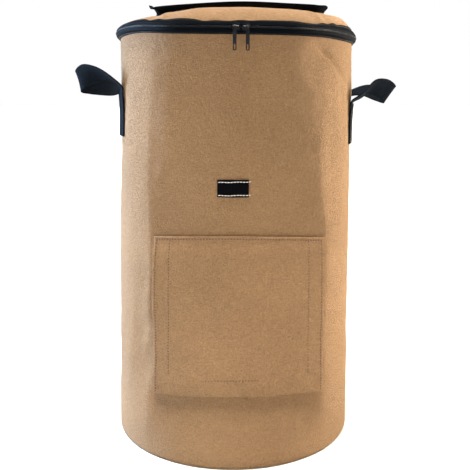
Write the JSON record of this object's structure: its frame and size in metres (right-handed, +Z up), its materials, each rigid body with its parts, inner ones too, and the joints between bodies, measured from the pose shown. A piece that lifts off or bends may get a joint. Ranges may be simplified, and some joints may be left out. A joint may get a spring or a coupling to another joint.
{
  "type": "garden compost bag",
  "caption": "Tall round felt compost bag with a zipped domed lid, front flap, two side handles and a lid handle.",
  "frame": {"origin": "centre of the bag's underside, where it stands", "axes": "+Z up, +X to the right seen from the front, -Y towards the front with the flap and the zip pulls"},
  "size_m": [0.4866, 0.3663, 0.6474],
  "materials": {
    "felt": "needled felt",
    "webbing": "woven webbing",
    "zip_tape": "woven tape",
    "zip_coil": "satin nylon",
    "fastening_strip": "hook and loop",
    "label": "woven patch, bare",
    "slider_metal": "dark gloss"
  },
  "bodies": {
    "bag": {"wall": "felt", "base": "felt", "lid": "felt", "front_flap": "felt", "zip_tape_lower": "zip_tape", "zip_tape_upper": "zip_tape", "zip_coil": "zip_coil", "flap_strip_left": "fastening_strip", "flap_strip_right": "fastening_strip", "label": "label", "handle_left": "webbing", "handle_right": "webbing", "lid_handle": "webbing", "slider_left": "slider_metal", "slider_right": "slider_metal"},
    "pull_left": {"pull_left": "slider_metal"},
    "pull_right": {"pull_right": "slider_metal"}
  },
  "joints": [
    {"name": "pull_left_swing", "type": "hinge", "parent": "bag", "child": "pull_left", "pos_m": [0.00478, -0.18425, 0.59718], "axis": [-1, 0.0012, 0], "range_deg": [0, 165]},
    {"name": "pull_right_swing", "type": "hinge", "parent": "bag", "child": "pull_right", "pos_m": [0.01743, -0.18383, 0.59697], "axis": [-0.9977, -0.0674, 0], "range_deg": [0, 165]}
  ]
}
